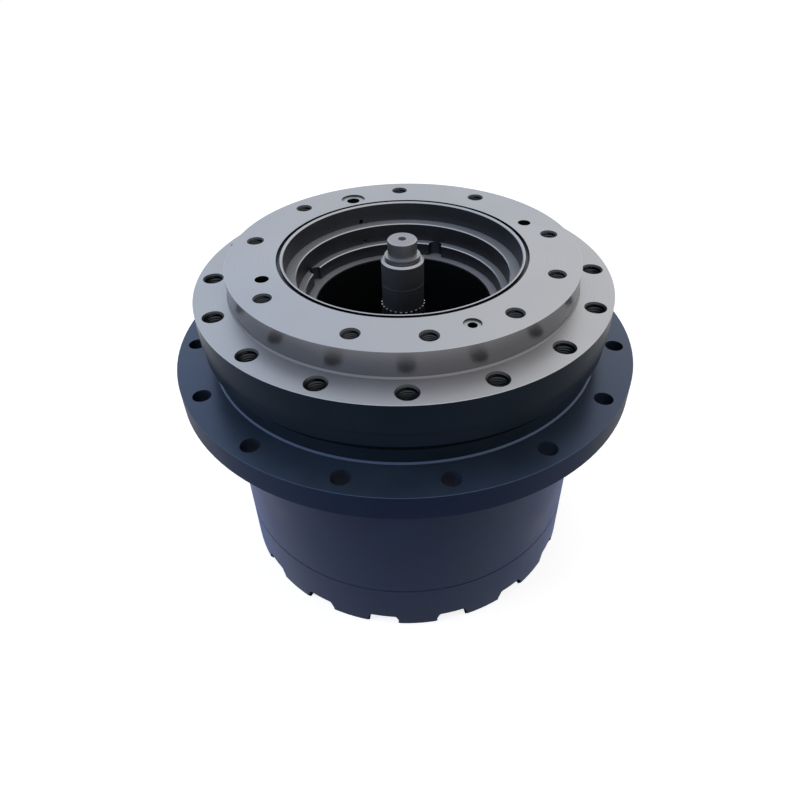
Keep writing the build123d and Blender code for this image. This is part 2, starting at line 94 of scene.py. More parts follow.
# Turns over which a thread rises to its full height, and the share of it that it starts with
RUN_OUT, THREAD_START = 0.5, 0.02
# Mouth of a socket, in half widths across its flats: just outside its corners
SOCKET_MOUTH = 1.2

# Colour sockets of the Mix node, whose other sockets have the same names
MIX_A, MIX_B, MIX_RESULT = 6, 7, 2
# Most of a noise pattern lies in this range
NOISE = {"From Min": 0.3, "From Max": 0.7}
# Narrower, so that thick and thin paint both show
COAT = {"From Min": 0.35, "From Max": 0.65, "To Min": 0.0, "To Max": 1.0}
# What turning marks and patches multiply the colour of a metal or a grained finish by
MARK_SHADES = {"To Min": 0.95, "To Max": 1.03}
PATCH_SHADES = {"To Min": 0.85, "To Max": 1.1}
# Roughness of the glossiest and dullest places, in shares of the finish's own
GLOSSIEST = 0.9
DULLEST_TURNED, DULLEST_GRAINED, DULLEST_SPRAYED = 1.12, 1.1, 1.15
# Turn of the highlights on turned metal, so that they cross the grooves
QUARTER_TURN = 0.25
# Strength of the ripple in the paint, and spread of the blue light painted at its edges
PEEL_STRENGTH, HAZE_SPREAD = 0.12, 0.3


def linear(hex_text):
    """Linear RGB of an sRGB hex colour."""
    values = [int(hex_text[i : i + 2], 16) / 255 for i in (0, 2, 4)]
    return tuple(v / 12.92 if v <= 0.04045 else ((v + 0.055) / 1.055) ** 2.4 for v in values)


def colour_property(name, hex_text, description):
    return FloatVectorProperty(
        name=name, description=description, subtype="COLOR", size=3, min=0, max=1,
        default=linear(hex_text),
    )


def length_property(name, millimetres, description):
    return FloatProperty(
        name=name, description=description, unit="LENGTH", min=0, default=millimetres * MM
    )


def share_property(name, share, description):
    return FloatProperty(
        name=name, description=description, subtype="FACTOR", min=0, max=1, default=share
    )


class DriveColours(bpy.types.PropertyGroup):
    """Colours of the finishes."""

    enamel: colour_property("Enamel", "162036", "Dark blue-grey paint of hub and cover")
    enamel_thin: colour_property("Thin enamel", "1C2840", "Paint where the coat is thinner")
    # Painted reflection: a blue tint in the enamel's reflections, standing in for a cool sky
    enamel_sheen: colour_property("Enamel sheen", "B4CCFF", "Tint of the light on the enamel")
    # Painted light: a blue glow painted at the edges of the enamel, for a cool sky seen at a
    # grazing angle
    haze: colour_property("Haze", "3080FF", "Tint of the haze at the edges of the enamel")
    black_enamel: colour_property("Black enamel", "1B242D", "Paint of the spindle and hub rim")
    black_thin: colour_property("Thin black enamel", "202A35", "The same where it is thinner")
    # Painted light: paler paint in the seam groove, to take out the shade in it
    seam: colour_property("Seam", "3A4866", "Painted sealant between hub and cover")
    # Painted light: a paler enamel on the faces that look up, lit from above
    faced_enamel: colour_property("Faced enamel", "242F3D", "Paint on the top of the flange")
    faced_thin: colour_property("Thin faced enamel", "2C3847", "The same where it is thinner")
    primer: colour_property("Primer", "222C3E", "Inside of the sprocket holes")
    iron: colour_property("Turned iron", "B8B9BD", "Fresh turned faces of the spindle")
    # Painted shade: the turned iron made darker on the spigot's side
    rough_iron: colour_property("Rough turned iron", "767578", "Side of the spigot")
    # Painted shade: the turned iron made darker on the bore's walls
    bore_iron: colour_property("Bored iron", "4E5056", "Stepped walls of the motor bore")
    ledge_iron: colour_property("Faced iron", "96979C", "Ledges of the motor bore")
    # Painted shade: darkened iron inside the holes and ports
    tapped_iron: colour_property("Tapped iron", "46484B", "Inside of the holes and ports")
    # Nearly black below the steps of the bore
    oiled_iron: colour_property("Oiled iron", "0B0D10", "Deep chamber, dark with oil")
    ground_steel: colour_property("Ground steel", "A0A0A4", "Journal of the shaft, and pins")
    # Painted highlight: paler steel on the chamfers of the journal
    ground_edge: colour_property("Edges of the journal", "B4B4B8", "Turned edges of the shaft")
    hard_steel: colour_property("Hardened steel", "44474B", "Splined body of the shaft")
    # Bare chamfered ends, near white as a painted glint
    spline_end: colour_property("Spline ends", "E6E6EA", "Bare chamfered ends of the spline")
    gear_steel: colour_property("Gear steel", "85868C", "Gears and carriers")
    bearing_steel: colour_property("Bearing steel", "A8A9AD", "Bearing rings and rollers")
    seal_iron: colour_property("Seal iron", "707074", "Lapped rings of the face seal")
    rubber: colour_property("Rubber", "141414", "Rubber rings of the seals")
    oxide: colour_property("Black oxide", "1B1B1E", "Screws and plugs")
    bronze: colour_property("Bronze", "A87C42", "Thrust pad under the shaft")


class DriveSizes(bpy.types.PropertyGroup):
    """Sizes of what is added to the solids, and of the patterns in the finishes."""

    frame_pitch: length_property("Frame pitch", 2.5, "Pitch of the frame bolt threads")
    motor_pitch: length_property("Motor pitch", 2.0, "Pitch of the motor bolt threads")
    thread_ridge: length_property("Thread ridge", 0.7, "Height of a thread above its hole")
    frame_thread: length_property("Frame thread", 24.0, "Threaded depth of the frame holes")
    motor_thread: length_property("Motor thread", 30.0, "Threaded depth of the motor holes")
    spare_holes: FloatVectorProperty(
        name="Spare holes", description="Angles of the two unpaired holes of the motor face",
        size=2, unit="ROTATION", default=(radians(-43.9), radians(230.2)),
    )
    bore_reach: length_property("Bore reach", 117.8, "Radius inside which the bore finish goes")
    # The bore takes the nearly black iron below this height
    chamber_top: length_property("Chamber top", 292.6, "Height below which the bore is oiled")
    port_step: length_property("Port step", 2.5, "Depth to which the ports are bright")
    spigot_skin: length_property("Spigot skin", 0.5, "Depth that counts as the spigot's side")
    spigot_foot: length_property("Spigot foot", 3.0, "Height of the fillet round the spigot")
    rim_skin: length_property("Rim skin", 3.0, "Depth that counts as the spindle's rim")
    seam_width: length_property("Seam width", 1.5, "Height of the seam under the hub")
    seam_depth: length_property("Seam depth", 2.2, "Depth of the seam from the shell inwards")
    hub_rim: length_property("Hub rim", 251.6, "Height above which the hub is black")
    edge_skin: length_property("Edge skin", 1.0, "Depth that counts as the flange's edge")
    hole_reach: length_property("Hole reach", 32.0, "Depth of the dark holes below the flange")
    bright_shaft: length_property("Bright shaft", 335.8, "Height above which the shaft is ground")
    centre_hole: length_property("Centre hole", 5.0, "Radius round the centre of the journal")
    spline_top: length_property("Spline top", 288.8, "Height of the bright ends of the spline")
    spline_skin: length_property("Spline skin", 1.0, "Depth that counts as the spline's ends")
    tool_mark: length_property("Tool mark", 1.1, "Spacing of the turning marks")
    grit: length_property("Grit", 0.8, "Grain of lapped, cast and moulded surfaces")
    grain_depth: length_property("Grain depth", 0.1, "Depth of turning marks and of grain")
    orange_peel: length_property("Orange peel", 2.4, "Width of the ripples in the paint")
    peel_depth: length_property("Peel depth", 0.15, "Depth of the ripples in the paint")
    coat_patch: length_property("Coat patch", 70.0, "Width of the patches of thinner paint")
    broken_edge: length_property("Broken edge", 0.8, "Chamfer of screw heads and sockets")
    screw_socket: length_property("Screw socket", 10.0, "Width across the flats, cover screws")
    screw_depth: length_property("Screw depth", 6.0, "Depth of the sockets in the cover screws")
    knurl: length_property("Knurl", 0.25, "Depth of the knurling on the screw heads")
    plug_socket: length_property("Plug socket", 14.0, "Width across the flats, oil plugs")
    plug_depth: length_property("Plug depth", 9.0, "Depth of the sockets in the oil plugs")
    plug_collar: length_property("Plug collar", 6.0, "Height of the collar of an oil plug")
    plug_step: length_property("Plug step", 4.0, "Width of the collar outside the stem")


class DriveView(bpy.types.PropertyGroup):
    """Camera and studio."""

    lens: FloatProperty(
        name="Lens", description="Focal length, millimetres", unit="CAMERA", default=29.383
    )
    sensor: FloatProperty(
        name="Sensor", description="Width of the sensor, millimetres", unit="CAMERA", default=36.0
    )
    nearest: length_property("Nearest", 10.0, "Distance at which the camera begins to see")
    place: FloatVectorProperty(
        name="Camera", description="Place of the camera", subtype="TRANSLATION", size=3,
        unit="LENGTH", default=(-0.2283, -0.5362, 0.6375),
    )
    pitch: FloatProperty(
        name="Pitch", description="Angle below the horizon", subtype="ANGLE",
        default=radians(39.476),
    )
    heading: FloatProperty(
        name="Heading", description="Turn from looking along Y", subtype="ANGLE",
        default=radians(-22.484),
    )
    roll: FloatProperty(
        name="Roll", description="Tilt of the picture", subtype="ANGLE", default=radians(-1.429)
    )
    floor_half: FloatProperty(
        name="Floor", description="Half width of the floor", unit="LENGTH", default=8.0
    )
    floor_shade: share_property("Floor shade", 0.5, "Light that the floor sends back")
    floor_glow: share_property("Floor glow", 0.8, "Light that the floor adds where it is seen")
    sky_cool: colour_property("Cool sky", "E2EEFF", "Light from the left of the camera")
    sky_warm: colour_property("Warm sky", "FFFDFA", "Light from the right of the camera")
    sky_blend: share_property("Sky blend", 0.35, "Half width of the change between the two")
    ambient: FloatProperty(
        name="Ambient", description="Strength of the even light from all round", default=0.45
    )
    segments: IntProperty(
        name="Segments", description="Points round a screw or thread", default=48, min=12
    )


def colours():
    return bpy.context.scene.drive_colours


def sizes():
    return bpy.context.scene.drive_sizes


def studio():
    return bpy.context.scene.drive_view


def add_node(tree, kind, inputs=None, **settings):
    """One shader node: settings are its own, inputs are values or sockets that feed it."""
    node = tree.nodes.new(kind)
    for name, value in settings.items():
        setattr(node, name, value)
    for name, value in (inputs or {}).items():
        if isinstance(value, bpy.types.NodeSocket):
            tree.links.new(value, node.inputs[name])
        else:
            node.inputs[name].default_value = value
    return node


def new_material(name):
    """An empty material, its node tree and its output."""
    material = bpy.data.materials.new(name)
    material.use_nodes = True
    tree = material.node_tree
    tree.nodes.clear()
    return material, tree, add_node(tree, "ShaderNodeOutputMaterial")


def turned_metal(name, colour, roughness, anisotropic, mark_strength):
    """Metal cut round an axis: fine rings that stretch each highlight across them.
    Real feed marks are a quarter of a millimetre apart: these are coarser, so that they show."""
    material, tree, output = new_material(name)
    place = add_node(tree, "ShaderNodeTexCoord")
    split = add_node(tree, "ShaderNodeSeparateXYZ", {"Vector": place.outputs["Object"]})
    flat = add_node(
        tree, "ShaderNodeCombineXYZ", {"X": split.outputs["X"], "Y": split.outputs["Y"]}
    )
    reach = add_node(tree, "ShaderNodeVectorMath", {0: flat.outputs[0]}, operation="LENGTH")
    # Radius and height added, so the rings follow one another on level faces and down walls
    across = add_node(
        tree, "ShaderNodeMath", {0: reach.outputs["Value"], 1: split.outputs["Z"]},
        operation="ADD",
    )
    marks = add_node(
        tree, "ShaderNodeTexNoise",
        {
            "W": across.outputs[0], "Scale": 1 / sizes().tool_mark, "Detail": 3.0,
            "Roughness": 0.65,
        },
        noise_dimensions="1D",
    )
    patches = add_node(
        tree, "ShaderNodeTexNoise",
        {"Vector": place.outputs["Object"], "Scale": 1 / sizes().coat_patch, "Detail": 2.0},
    )
    tint = add_node(
        tree, "ShaderNodeMapRange", {"Value": marks.outputs[0], **NOISE, **MARK_SHADES}
    )
    shade = add_node(
        tree, "ShaderNodeMix", {"Factor": 1.0, MIX_A: (*colour, 1.0), MIX_B: tint.outputs[0]},
        data_type="RGBA", blend_type="MULTIPLY",
    )
    gloss = add_node(
        tree, "ShaderNodeMapRange",
        {
            "Value": patches.outputs[0], **NOISE,
            "To Min": roughness * GLOSSIEST, "To Max": roughness * DULLEST_TURNED,
        },
    )
    bump = add_node(
        tree, "ShaderNodeBump",
        {
            "Height": marks.outputs[0], "Strength": mark_strength,
            "Distance": sizes().grain_depth,
        },
    )
    tangent = add_node(tree, "ShaderNodeTangent", direction_type="RADIAL", axis="Z")
    shader = add_node(
        tree, "ShaderNodeBsdfPrincipled",
        {
            "Base Color": shade.outputs[MIX_RESULT], "Metallic": 1.0,
            "Roughness": gloss.outputs[0], "Anisotropic": anisotropic,
            "Anisotropic Rotation": QUARTER_TURN, "Normal": bump.outputs[0],
            "Tangent": tangent.outputs[0],
        },
    )
    tree.links.new(shader.outputs[0], output.inputs[0])
    return material


def grained(name, colour, roughness, metallic, specular, grain_strength):
    """An even surface with a fine grain and slight patches of shade.
    Real grain is under a tenth of a millimetre: this is coarser, so that it shows."""
    material, tree, output = new_material(name)
    place = add_node(tree, "ShaderNodeTexCoord")
    grain = add_node(
        tree, "ShaderNodeTexNoise",
        {"Vector": place.outputs["Object"], "Scale": 1 / sizes().grit, "Detail": 3.0},
    )
    patches = add_node(
        tree, "ShaderNodeTexNoise",
        {"Vector": place.outputs["Object"], "Scale": 1 / sizes().coat_patch, "Detail": 3.0},
    )
    tint = add_node(
        tree, "ShaderNodeMapRange", {"Value": patches.outputs[0], **NOISE, **PATCH_SHADES}
    )
    shade = add_node(
        tree, "ShaderNodeMix", {"Factor": 1.0, MIX_A: (*colour, 1.0), MIX_B: tint.outputs[0]},
        data_type="RGBA", blend_type="MULTIPLY",
    )
    gloss = add_node(
        tree, "ShaderNodeMapRange",
        {
            "Value": grain.outputs[0], **NOISE,
            "To Min": roughness * GLOSSIEST, "To Max": roughness * DULLEST_GRAINED,
        },
    )
    bump = add_node(
        tree, "ShaderNodeBump",
        {
            "Height": grain.outputs[0], "Strength": grain_strength,
            "Distance": sizes().grain_depth,
        },
    )
    shader = add_node(
        tree, "ShaderNodeBsdfPrincipled",
        {
            "Base Color": shade.outputs[MIX_RESULT], "Metallic": metallic,
            "Roughness": gloss.outputs[0], "Specular IOR Level": specular,
            "Normal": bump.outputs[0],
        },
    )
    tree.links.new(shader.outputs[0], output.inputs[0])
    return material


def sprayed_enamel(name, colour, thin_colour, roughness, specular, haze):
    """Enamel sprayed on iron: a soft sheen with the ripple called orange peel, a blue reflection
    of a cool sky painted into its specular tint and, in some coats, a blue light painted at its
    edges.
    """
    material, tree, output = new_material(name)
    place = add_node(tree, "ShaderNodeTexCoord")
    peel = add_node(
        tree, "ShaderNodeTexNoise",
        {"Vector": place.outputs["Object"], "Scale": 1 / sizes().orange_peel, "Detail": 2.0},
    )
    patches = add_node(
        tree, "ShaderNodeTexNoise",
        {"Vector": place.outputs["Object"], "Scale": 1 / sizes().coat_patch, "Detail": 4.0},
    )
    coat = add_node(tree, "ShaderNodeMapRange", {"Value": patches.outputs[0], **COAT})
    shade = add_node(
        tree, "ShaderNodeMix",
        {"Factor": coat.outputs[0], MIX_A: (*colour, 1.0), MIX_B: (*thin_colour, 1.0)},
        data_type="RGBA",
    )
    gloss = add_node(
        tree, "ShaderNodeMapRange",
        {
            "Value": patches.outputs[0], **NOISE,
            "To Min": roughness * GLOSSIEST, "To Max": roughness * DULLEST_SPRAYED,
        },
    )
    bump = add_node(
        tree, "ShaderNodeBump",
        {
            "Height": peel.outputs[0], "Strength": PEEL_STRENGTH,
            "Distance": sizes().peel_depth,
        },
    )
    shader = add_node(
        tree, "ShaderNodeBsdfPrincipled",
        {
            "Base Color": shade.outputs[MIX_RESULT], "Roughness": gloss.outputs[0],
            # Specular Tint paints the blue reflection of a cool sky into the enamel
            "Specular IOR Level": specular, "Specular Tint": (*colours().enamel_sheen, 1.0),
            # Sheen paints a blue light at the edges of the coat
            "Sheen Weight": haze, "Sheen Roughness": HAZE_SPREAD,
            "Sheen Tint": (*colours().haze, 1.0), "Normal": bump.outputs[0],
        },
    )
    tree.links.new(shader.outputs[0], output.inputs[0])
    return material


def cast_enamel():
    # Blue-grey coat on the cast sides of hub and cover: dark, with a low sheen and a blue light
    # painted at its edges
    return sprayed_enamel(
        "Enamel on castings", colours().enamel, colours().enamel_thin,
        roughness=0.4, specular=0.11, haze=0.5,
    )


def faced_enamel():
    # The same coat on faced iron, smoother and more reflective; it is paler than the cast sides,
    # painted light falling on faces that look up
    return sprayed_enamel(
        "Enamel on faced iron", colours().faced_enamel, colours().faced_thin,
        roughness=0.32, specular=1.0, haze=0.0,
    )


def edge_enamel():
    # The same coat round the turned edge of the flange, thin and nearly matt
    return sprayed_enamel(
        "Enamel on turned edge", colours().enamel, colours().enamel_thin,
        roughness=0.45, specular=0.04, haze=0.0,
    )


def black_enamel():
    # Side of the spindle and rim of the hub: nearly black, smooth and with hardly any sheen
    return sprayed_enamel(
        "Black enamel", colours().black_enamel, colours().black_thin,
        roughness=0.3, specular=0.02, haze=0.0,
    )


def shop_primer():
    # Thin matt primer in the bolt holes, where little light comes
    return grained(
        "Shop primer", colours().primer,
        roughness=0.6, metallic=0.0, specular=0.1, grain_strength=0.1,
    )


def painted_sealant():
    # Paint in the seam groove under the hub, paler than the enamel: painted light that takes out
    # the groove's shade. Soft, without gloss
    return grained(
        "Painted silicone sealant", colours().seam,
        roughness=0.6, metallic=0.0, specular=0.2, grain_strength=0.2,
    )


def turned_ductile_iron():
    # Faces of the spindle just off the lathe: bright grey, softly mirrored
    return turned_metal(
        "Turned ductile iron", colours().iron,
        roughness=0.38, anisotropic=0.55, mark_strength=0.1,
    )


def bored_ductile_iron():
    # Walls bored deep inside: the same metal, duller, and darker as painted shade
    return turned_metal(
        "Bored ductile iron", colours().bore_iron,
        roughness=0.45, anisotropic=0.4, mark_strength=0.15,
    )


def faced_ductile_iron():
    # Ledges of the bore: faced with a coarse feed, so they look pale and even
    return grained(
        "Faced ductile iron", colours().ledge_iron,
        roughness=0.5, metallic=0.4, specular=0.5, grain_strength=0.1,
    )


def rough_turned_iron():
    # Side of the spigot: the same turned metal, darker than the faces as painted shade, with the
    # holes beside it mirrored as soft blots
    return turned_metal(
        "Rough turned iron", colours().rough_iron,
        roughness=0.28, anisotropic=0.7, mark_strength=0.12,
    )


def tapped_iron():
    # Walls of the drilled and tapped holes and of the ports, darkened as painted shade
    return turned_metal(
        "Tapped ductile iron", colours().tapped_iron,
        roughness=0.4, anisotropic=0.0, mark_strength=0.1,
    )


def oiled_cast_iron():
    # Chamber wall below the steps of the bore: nearly black
    return grained(
        "Oiled cast iron", colours().oiled_iron,
        roughness=0.5, metallic=0.0, specular=0.25, grain_strength=0.2,
    )


def ground_alloy_steel():
    # Ground round its axis: a fine even grey with a soft streak of light along it
    return turned_metal(
        "Ground alloy steel", colours().ground_steel,
        roughness=0.34, anisotropic=0.5, mark_strength=0.02,
    )


def hardened_alloy_steel():
    # Darkened by quenching, with a low sheen
    return grained(
        "Hardened alloy steel", colours().hard_steel,
        roughness=0.45, metallic=0.3, specular=0.4, grain_strength=0.12,
    )


def chamfered_steel():
    # Bare metal where the ends of the teeth were cut back, near white as a painted glint
    return grained(
        "Chamfered alloy steel", colours().spline_end,
        roughness=0.3, metallic=0.3, specular=0.5, grain_strength=0.05,
    )


def edged_alloy_steel():
    # Turned chamfers of the journal and its collar: paler than the ground faces, a painted
    # highlight on the faces that slope up
    return grained(
        "Turned alloy steel", colours().ground_edge,
        roughness=0.35, metallic=0.6, specular=0.5, grain_strength=0.05,
    )


def hobbed_gear_steel():
    # Cut and case-hardened: even grey
    return grained(
        "Hobbed gear steel", colours().gear_steel,
        roughness=0.38, metallic=1.0, specular=0.5, grain_strength=0.15,
    )


def polished_bearing_steel():
    # Finely polished rings
    return turned_metal(
        "Polished bearing steel", colours().bearing_steel,
        roughness=0.16, anisotropic=0.3, mark_strength=0.05,
    )


def lapped_white_iron():
    # Lapped to a grey, close-grained seal face
    return grained(
        "Lapped white iron", colours().seal_iron,
        roughness=0.3, metallic=1.0, specular=0.5, grain_strength=0.1,
    )


def moulded_nitrile_rubber():
    # Matt black with a fine moulded grain
    return grained(
        "Moulded nitrile rubber", colours().rubber,
        roughness=0.7, metallic=0.0, specular=0.35, grain_strength=0.3,
    )


def black_oxide_steel():
    # Chemically blackened screws: dark, oily, slightly glossy
    return grained(
        "Black oxide steel", colours().oxide,
        roughness=0.42, metallic=0.6, specular=0.5, grain_strength=0.12,
    )


def cast_bronze():
    # Faced bronze, yellow-brown
    return turned_metal(
        "Cast bronze", colours().bronze,
        roughness=0.35, anisotropic=0.4, mark_strength=0.12,
    )


def give_finish(node, *materials, choose=None):
    """Gives a CAD node its materials; choose returns the number of a face's material."""
    mesh = frame["nodes"][node].data
    mesh.materials.clear()
    for material in materials:
        mesh.materials.append(material)
    for face in mesh.polygons:
        face.material_index = choose(face) if choose else 0


def islands(node):
    """Lowest and highest corner of each separate solid of a CAD node."""
    shape = bmesh.new()
    shape.from_mesh(frame["nodes"][node].data)
    bmesh.ops.remove_doubles(shape, verts=shape.verts, dist=SAME_POINT)
    unseen = set(shape.verts)
    found = []
    while unseen:
        waiting = [unseen.pop()]
        points = []
        while waiting:
            vert = waiting.pop()
            points.append(vert.co.copy())
            for edge in vert.link_edges:
                other = edge.other_vert(vert)
                if other in unseen:
                    unseen.remove(other)
                    waiting.append(other)
        low = Vector([min(p[i] for p in points) for i in range(3)])
        high = Vector([max(p[i] for p in points) for i in range(3)])
        found.append((low, high))
    shape.free()
    return sorted(found, key=lambda box: (box[0].x, box[0].y))


def fasteners(node):
    """Lowest points of the fasteners in a CAD node, and the radius and length that they share."""
    boxes = islands(node)
    places = [
        Vector(((low.x + high.x) / 2, (low.y + high.y) / 2, low.z)) for low, high in boxes
    ]
    low, high = boxes[-1]
    return places, (high.x - low.x) / 2, high.z - low.z


def add_piece(name, points, faces, material, body, slot):
    """A new mesh piece that rides on a body."""
    mesh = bpy.data.meshes.new(name)
    mesh.from_pydata(points, [], faces)
    mesh.validate()
    mesh.shade_smooth()
    mesh.set_sharp_from_angle(angle=SHARP)
    mesh.materials.append(material)
    piece = bpy.data.objects.new(name, mesh)
    bpy.context.scene.collection.objects.link(piece)
    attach(piece, body)
    return piece


def polar(radius, angle, height):
    """The point at a radius, an angle round the axis and a height."""
    return Vector((radius * cos(angle), radius * sin(angle), height))


def ring_points(radius, height, sides=0, knurl=0.0):
    """Points round a circle, or round a polygon whose flats lie at the radius."""
    count = studio().segments
    points = []
    for i in range(count):
        angle = 2 * pi * i / count
        reach = radius - knurl * (i % 2)
        if sides:
            half = pi / sides
            reach = radius / cos(angle % (2 * half) - half)
        points.append(polar(reach, angle, height))
    return points


def loft(rings):
    """Points and faces of a closed skin through rings of equal count, capped at both ends."""
    count = len(rings[0])
    points = [point for ring in rings for point in ring]
    faces = []
    for level in range(len(rings) - 1):
        for i in range(count):
            here = level * count + i
            beside = level * count + (i + 1) % count
            faces.append((here, beside, beside + count, here + count))
    last = (len(rings) - 1) * count
    faces.append(tuple(reversed(range(count))))
    faces.append(tuple(range(last, last + count)))
    return points, faces


def repeat(points, faces, places):
    """One shape set down at several places."""
    all_points, all_faces = [], []
    for place in places:
        start = len(all_points)
        all_points += [point + place for point in points]
        all_faces += [tuple(index + start for index in face) for face in faces]
    return all_points, all_faces


def thread_coil(hole_radius, pitch, length):
    """A three-sided ridge wound down the wall of a hole, thin at both ends.
    Its crest starts half a pitch below height zero, so that its foot stays in the hole."""
    count = studio().segments
    steps = int(length / pitch * count)
    root = hole_radius + HAIR
    half = RIDGE_HALF * pitch
    points, faces = [], []
    for step in range(steps + 1):
        angle = 2 * pi * step / count
        drop = -pitch * (step / count + 0.5)
        rise = min(1.0, step / count / RUN_OUT, (steps - step) / count / RUN_OUT)
        crest = hole_radius - sizes().thread_ridge * max(rise, THREAD_START)
        points.append(polar(root, angle, drop + half))
        points.append(polar(crest, angle, drop))
        points.append(polar(root, angle, drop - half))
    corners = 3
    for here in range(0, steps * corners, corners):
        for i in range(corners):
            beside = here + (i + 1) % corners
            faces.append((here + i, beside, beside + corners, here + i + corners))
    last = steps * corners
    faces.append((2, 1, 0))
    faces.append((last, last + 1, last + 2))
    return points, faces


class DRIVE_OT_spindle(bpy.types.Operator):
    """Turned faces, bored walls, spigot side and holes darkened with painted shade, a nearly
    black chamber and painted rim of the spindle
    """

    bl_idname = "drive.spindle"
    bl_label = "Spindle"

    TURNED, PAINTED, BORED, OILED, ROUGH, TAPPED, FACED = range(7)

    def execute(self, context):
        self.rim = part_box("spindle")[1].x
        give_finish(
            "spindle", turned_ductile_iron(), black_enamel(), bored_ductile_iron(),
            oiled_cast_iron(), rough_turned_iron(), tapped_iron(), faced_ductile_iron(),
            choose=self.choose,
        )
        return {"FINISHED"}

    def choose(self, face):
        """Number of a face's finish, from its place and its slope."""
        frame_height = MOUNTS["frame_face"]["pos_m"][2]
        motor_height = MOUNTS["motor_face"]["pos_m"][2]
        spigot = MOUNTS["frame_pilot"]["dims"]["r_mm"] * MM
        hole_foot = frame_height - sizes().hole_reach
        reach = hypot(face.center.x, face.center.y)
        height = face.center.z
        rise = face.normal.z
        if reach < sizes().bore_reach:
            # Below the steps the bore takes the nearly black iron
            if height < sizes().chamber_top:
                return self.OILED
            # Walls inside the bore take the darker iron, painted shade
            if abs(rise) < WALL:
                return self.BORED
            ledge = rise > LEVEL and height < motor_height - HAIR
            return self.FACED if ledge else self.TURNED
        if reach < spigot - sizes().spigot_skin:
            bright = height > motor_height - (sizes().port_step if rise > LEVEL else HAIR)
            # Below the bright step, the port walls take the darkened iron: painted shade
            return self.TURNED if bright or height < hole_foot else self.TAPPED
        if height > frame_height + HAIR:
            foot = height < frame_height + sizes().spigot_foot
            # The side and foot of the spigot take the darker iron, painted shade
            return self.ROUGH if rise < WALL or foot else self.TURNED
        if reach < self.rim - sizes().rim_skin and height > hole_foot:
            # Inside the frame holes, the darkened iron: painted shade
            return self.TURNED if height > frame_height - HAIR else self.TAPPED
        return self.TURNED if rise > UPWARD else self.PAINTED


class DRIVE_OT_threads(bpy.types.Operator):
    """Threads in the tapped holes of the frame flange and the motor face"""

    bl_idname = "drive.threads"
    bl_label = "Threads"

    def execute(self, context):
        # The threads share the holes' darkened iron, painted shade
        metal = bpy.data.materials["Tapped ductile iron"]
        circle = MOUNTS["frame_bolts"]
        radius = circle["dims"]["pcd_mm"] / 2 * MM
        count = circle["dims"]["count"]
        places = [polar(radius, 2 * pi * i / count, circle["pos_m"][2]) for i in range(count)]
        hole = circle["dims"]["hole_r_mm"] * MM
        coil = thread_coil(hole, sizes().frame_pitch, sizes().frame_thread)
        add_piece("frame_threads", *repeat(*coil, places), metal, "spindle", "machined_iron")

        places = []
        for name, mount in MOUNTS.items():
            if name.startswith("motor_bolts"):
                place = Vector(mount["pos_m"])
                aside = Vector((mount["dims"]["spacing_x_mm"] / 2 * MM, 0, 0))
                places += [place + aside, place - aside]
        radius = hypot(places[0].x, places[0].y)
        places += [polar(radius, angle, places[0].z) for angle in sizes().spare_holes]
        hole = MOUNTS["motor_bolts_1"]["dims"]["hole_r_mm"] * MM
        coil = thread_coil(hole, sizes().motor_pitch, sizes().motor_thread)
        add_piece("motor_threads", *repeat(*coil, places), metal, "spindle", "machined_iron")
        return {"FINISHED"}


class DRIVE_OT_housing(bpy.types.Operator):
    """Enamel on the hub and its end cover"""

    bl_idname = "drive.housing"
    bl_label = "Hub and cover"

    CAST, FACED, PRIMED, EDGE, RIM = range(5)
    SEALED = 1

    def execute(self, context):
        paint = cast_enamel()
        hub_low, hub_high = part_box("hub")
        self.rim = hub_high.x
        give_finish(
            "hub", paint, faced_enamel(), shop_primer(), edge_enamel(),
            bpy.data.materials["Black enamel"], choose=self.choose,
        )
        self.seam = hub_low.z
        self.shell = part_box("end_cover")[1].x
        give_finish("end_cover", paint, painted_sealant(), choose=self.choose_seam)
        return {"FINISHED"}

    def choose(self, face):
        """Number of the finish of a face of the hub."""
        circle = MOUNTS["sprocket_bolts"]["dims"]
        reach = hypot(face.center.x, face.center.y)
        wall = abs(face.normal.z) < WALL
        if wall and abs(reach - circle["pcd_mm"] / 2 * MM) < circle["hole_r_mm"] * MM:
            return self.PRIMED
        if wall and reach > self.rim - sizes().edge_skin:
            return self.EDGE
        if face.center.z > sizes().hub_rim:
            return self.RIM
        # Faces that look up take the paler enamel: painted light from above
        return self.FACED if face.normal.z > UPWARD else self.CAST

    def choose_seam(self, face):
        """Number of the finish of a face of the cover."""
        # The seam groove takes the paler paint, painted light over its shade
        under_hub = face.center.z > self.seam - sizes().seam_width
        outside = hypot(face.center.x, face.center.y) > self.shell - sizes().seam_depth
        return self.SEALED if under_hub and outside else self.CAST


class DRIVE_OT_cover_screws(bpy.types.Operator):
    """Socket screws in the feet of the cover"""

    bl_idname = "drive.cover_screws"
    bl_label = "Cover screws"

    def execute(self, context):
        edge = sizes().broken_edge
        socket = sizes().screw_socket / 2
        knurl = sizes().knurl
        places, head, length = fasteners("cover_bolts")
        # A socket screw's head is half as wide again as its shank, and as tall as that is wide
        shank = head * 2 / 3
        under = 2 * shank
        rings = [
            ring_points(socket, sizes().screw_depth, sides=6),
            ring_points(socket, edge, sides=6),
            ring_points(socket * SOCKET_MOUTH, 0),
            ring_points(head - edge, 0),
            ring_points(head, edge, knurl=knurl),
            ring_points(head, under - edge, knurl=knurl),
            ring_points(head - edge / 2, under),
            ring_points(shank, under),
            ring_points(shank, length - edge),
            ring_points(shank - edge, length),
        ]
        points, faces = repeat(*loft(rings), places)
        metal = black_oxide_steel()
        screws = add_piece("cover_screws", points, faces, metal, "drum", "bolt_steel")
        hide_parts("cover_bolts")
        return {"FINISHED"}


